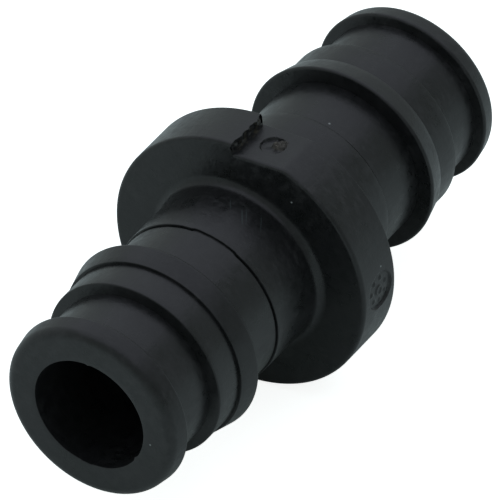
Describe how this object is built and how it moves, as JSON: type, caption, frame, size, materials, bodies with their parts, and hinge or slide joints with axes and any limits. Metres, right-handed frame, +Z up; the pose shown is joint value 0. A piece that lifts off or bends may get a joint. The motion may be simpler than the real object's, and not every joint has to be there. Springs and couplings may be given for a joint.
{
  "type": "push fit coupling",
  "caption": "Straight hollow plastic pipe coupling with a ridged spigot on each end and a stop collar in the middle.",
  "frame": {"origin": "centre of the coupling, on the bore's axis and midway between the two end faces", "axes": "+X along the bore, +Z up through the wall of the collar's gate notch, +Y square to both"},
  "size_m": [0.0582, 0.0274, 0.0274],
  "materials": {
    "black_plastic": "satin moulded black plastic, fine scuffs"
  },
  "bodies": {
    "root": {"coupling_body": "black_plastic"}
  },
  "joints": []
}
